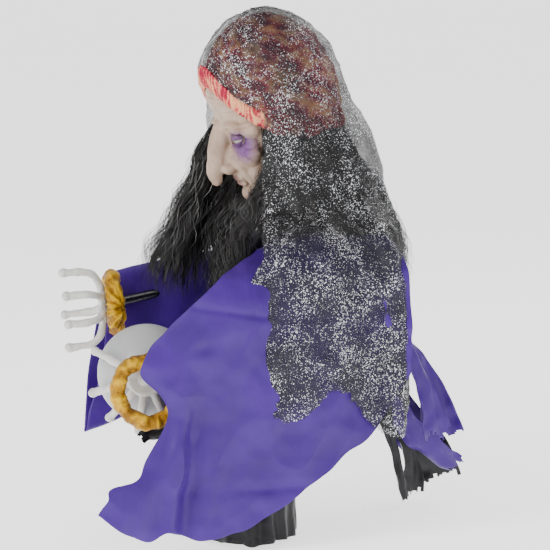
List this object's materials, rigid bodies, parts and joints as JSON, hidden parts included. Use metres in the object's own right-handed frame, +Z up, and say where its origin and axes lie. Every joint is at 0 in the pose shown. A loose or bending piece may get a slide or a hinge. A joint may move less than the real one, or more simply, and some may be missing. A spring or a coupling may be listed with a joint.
{
  "type": "animated witch figure",
  "caption": "Bowed half figure of a fortune-telling witch on a pole stand, with a turning head, one lifting arm and a lit ball in the other hand.",
  "frame": {"origin": "the middle of the base's underside, on the floor", "axes": "+Z up; the figure faces -Y and its left hand is on the +X side"},
  "size_m": [0.4199, 0.68, 0.7954],
  "materials": {
    "base_iron": "black enamel",
    "clamp_plastic": "moulded",
    "black_tube": "semi-gloss",
    "mat_rubber": "matte",
    "frame_steel": "brushed",
    "frame_plastic": "moulded",
    "bust_plastic": "moulded",
    "screw_steel": "bright",
    "gear_plastic": "natural",
    "pinion_brass": "machined",
    "motor_can": "plated",
    "mask": "soft latex",
    "eye": "gloss",
    "turban_lame": "metallic crinkle",
    "hair": "synthetic hair",
    "veil_tulle": "glittered tulle",
    "purple_satin": "satin",
    "black_gauze": "sheer satin",
    "gold_lame": "metallic crinkle",
    "white_hand": "moulded",
    "frosted_ball": "frosted",
    "lamp_board": "LED on a board",
    "box_plastic": "moulded",
    "speaker_cone": "paper cone",
    "cell_jacket": "printed jacket",
    "control_red": "gloss"
  },
  "bodies": {
    "stand": {"base_mat": "mat_rubber", "base_plate": "base_iron", "base_housing": "box_plastic", "pole_lower": "black_tube", "pole_upper": "black_tube", "pole_clamp": "clamp_plastic", "spine_block": "frame_plastic", "shoulder_bracket": "frame_steel", "torso_front": "bust_plastic", "torso_back": "bust_plastic", "torso_screws": "screw_steel", "gearbox_case": "frame_plastic", "gearbox_lid": "frame_plastic", "neck_bush": "gear_plastic", "head_motor": "motor_can", "arm_motor": "motor_can", "shoulder_bush": "gear_plastic", "upper_arm_left": "frame_plastic", "elbow_left": "frame_plastic", "forearm_left": "black_tube", "hand_left": "white_hand", "cuff_left": "gold_lame", "ball_shell_near": "frosted_ball", "ball_shell_far": "frosted_ball", "ball_lamp": "lamp_board", "speaker": "speaker_cone", "battery_cells": "cell_jacket", "dress_body": "purple_satin", "under_skirt": "black_gauze", "cape_left": "purple_satin", "veil_drape": "veil_tulle", "hair_fall": "hair", "back_tatters": "purple_satin"},
    "head": {"neck_shaft": "frame_steel", "head_gear": "gear_plastic", "face_mask": "mask", "head_back": "mask", "eye_left": "eye", "eye_right": "eye", "turban": "turban_lame", "wig": "hair", "veil_crown": "veil_tulle"},
    "head_drive": {"head_pinion": "pinion_brass"},
    "right_arm": {"shoulder_axle_right": "frame_steel", "arm_gear": "gear_plastic", "upper_arm_right": "frame_plastic", "elbow_right": "frame_plastic", "forearm_right": "black_tube", "hand_right": "white_hand", "cuff_right": "gold_lame", "sleeve_right": "purple_satin"},
    "arm_drive": {"arm_pinion": "pinion_brass"},
    "door": {"battery_door": "box_plastic"},
    "switch": {"mode_switch": "control_red"},
    "button": {"try_button": "control_red"},
    "knob": {"clamp_knob": "control_red"}
  },
  "joints": [
    {"name": "head_turn", "type": "hinge", "parent": "stand", "child": "head", "pos_m": [0, 0.132, 0.4], "axis": [0, -0.2588, 0.9659], "range_deg": [-30, 30]},
    {"name": "head_pinion_spin", "type": "hinge", "parent": "stand", "child": "head_drive", "pos_m": [0.035, 0.14494, 0.3517], "axis": [0, -0.2588, 0.9659], "range_deg": [-95, 95]},
    {"name": "right_arm_lift", "type": "hinge", "parent": "stand", "child": "right_arm", "pos_m": [-0.15, 0.122, 0.385], "axis": [-1, 0, 0], "range_deg": [0, 16]},
    {"name": "arm_pinion_spin", "type": "hinge", "parent": "stand", "child": "arm_drive", "pos_m": [-0.113, 0.122, 0.355], "axis": [-1, 0, 0], "range_deg": [-60, 60]},
    {"name": "battery_door_swing", "type": "hinge", "parent": "stand", "child": "door", "pos_m": [0, 0.0454, 0.0165], "axis": [-1, 0, 0], "range_deg": [0, 85]},
    {"name": "mode_switch_slide", "type": "slide", "parent": "stand", "child": "switch", "axis": [0, 0, 1], "range_m": [0, 0.006]},
    {"name": "try_button_press", "type": "slide", "parent": "stand", "child": "button", "axis": [1, 0, 0], "range_m": [0, 0.002], "stiffness_N_per_m": 400},
    {"name": "clamp_knob_turn", "type": "hinge", "parent": "stand", "child": "knob", "pos_m": [0.03, 0.0277, 0.12599], "axis": [1, 0, 0], "continuous": true}
  ],
  "couplings": [
    {"joint": "head_pinion_spin", "follows": "head_turn", "ratio": -3},
    {"joint": "arm_pinion_spin", "follows": "right_arm_lift", "ratio": -3}
  ]
}
